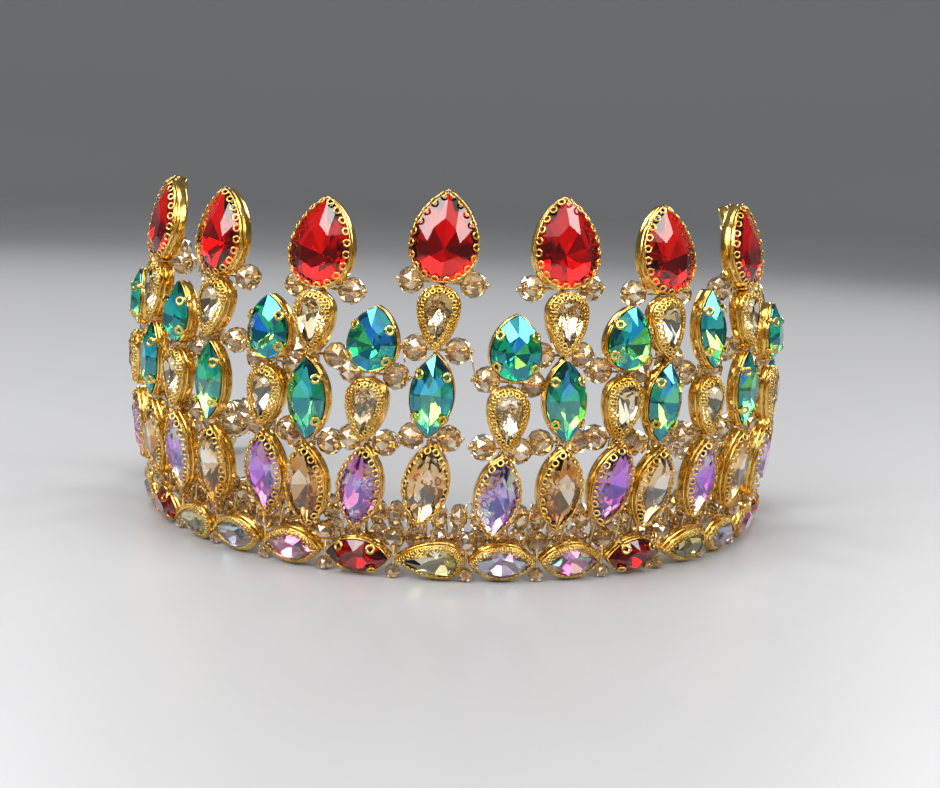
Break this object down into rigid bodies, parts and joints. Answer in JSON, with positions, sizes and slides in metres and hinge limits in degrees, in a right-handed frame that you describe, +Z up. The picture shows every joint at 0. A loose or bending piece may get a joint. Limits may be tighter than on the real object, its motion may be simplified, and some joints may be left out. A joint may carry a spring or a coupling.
{
  "type": "crown",
  "caption": "Open-backed wire crown of drop and marquise glass stones in gold cups, strung with faceted glass beads.",
  "frame": {"origin": "centre of the ring at table level, in the middle of the head opening", "axes": "+Z up through the head opening, -Y towards the middle of the front, +X towards the right end as seen from the front"},
  "size_m": [0.1618, 0.129, 0.0794],
  "materials": {
    "gold_plate": "polished warm gold plate",
    "wire": "bright pale gold craft wire",
    "eye": "satin pale gold, slightly creamy",
    "champagne_bead": "clear champagne faceted glass with a light lustre",
    "straw_glass": "pale straw faceted glass",
    "crystal_glass": "clear faceted glass with a mint and lilac aurora coating",
    "rose_glass": "clear faceted glass with a rose and teal aurora coating",
    "dark_red_glass": "dark ruby faceted glass",
    "amber_glass": "light amber faceted glass",
    "violet_glass": "clear faceted glass with a violet and pink aurora coating",
    "green_glass": "green faceted glass with a teal and yellow aurora coating",
    "blue_green_glass": "emerald faceted glass with a blue and yellow-green aurora coating",
    "champagne_glass": "pale champagne faceted glass",
    "ruby_glass": "deep ruby faceted glass"
  },
  "bodies": {
    "root": {"base_wire_upper": "wire", "base_wire_lower": "wire", "base_stone_wire": "wire", "base_tie_wires": "wire", "tall_stem_wires": "wire", "short_stem_wires": "wire", "bead_cross_wires": "wire", "ribbon_eye_left": "eye", "ribbon_eye_right": "eye", "base_beads_upper": "champagne_bead", "base_beads_lower": "champagne_bead", "base_tie_beads": "champagne_bead", "tall_column_beads": "champagne_bead", "short_column_beads": "champagne_bead", "base_drop_cups": "gold_plate", "base_drop_stones": "straw_glass", "base_crystal_cups": "gold_plate", "base_crystal_stones": "crystal_glass", "base_rose_cups": "gold_plate", "base_rose_stones": "rose_glass", "base_red_cups": "gold_plate", "base_red_stones": "dark_red_glass", "amber_marquise_cups": "gold_plate", "amber_marquise_stones": "amber_glass", "crystal_marquise_cups": "gold_plate", "crystal_marquise_stones": "violet_glass", "green_marquise_cups": "gold_plate", "green_marquise_stones": "green_glass", "green_drop_cups": "gold_plate", "green_drop_stones": "blue_green_glass", "tall_champagne_cups": "gold_plate", "tall_champagne_stones": "champagne_glass", "short_champagne_cups": "gold_plate", "short_champagne_stones": "champagne_glass", "red_cup_1": "gold_plate", "red_cup_2": "gold_plate", "red_cup_3": "gold_plate", "red_cup_4": "gold_plate", "red_cup_5": "gold_plate", "red_cup_6": "gold_plate", "red_cup_7": "gold_plate", "red_cup_8": "gold_plate", "red_cup_9": "gold_plate", "red_stone_1": "ruby_glass", "red_stone_2": "ruby_glass", "red_stone_3": "ruby_glass", "red_stone_4": "ruby_glass", "red_stone_5": "ruby_glass", "red_stone_6": "ruby_glass", "red_stone_7": "ruby_glass", "red_stone_8": "ruby_glass", "red_stone_9": "ruby_glass"}
  },
  "joints": []
}
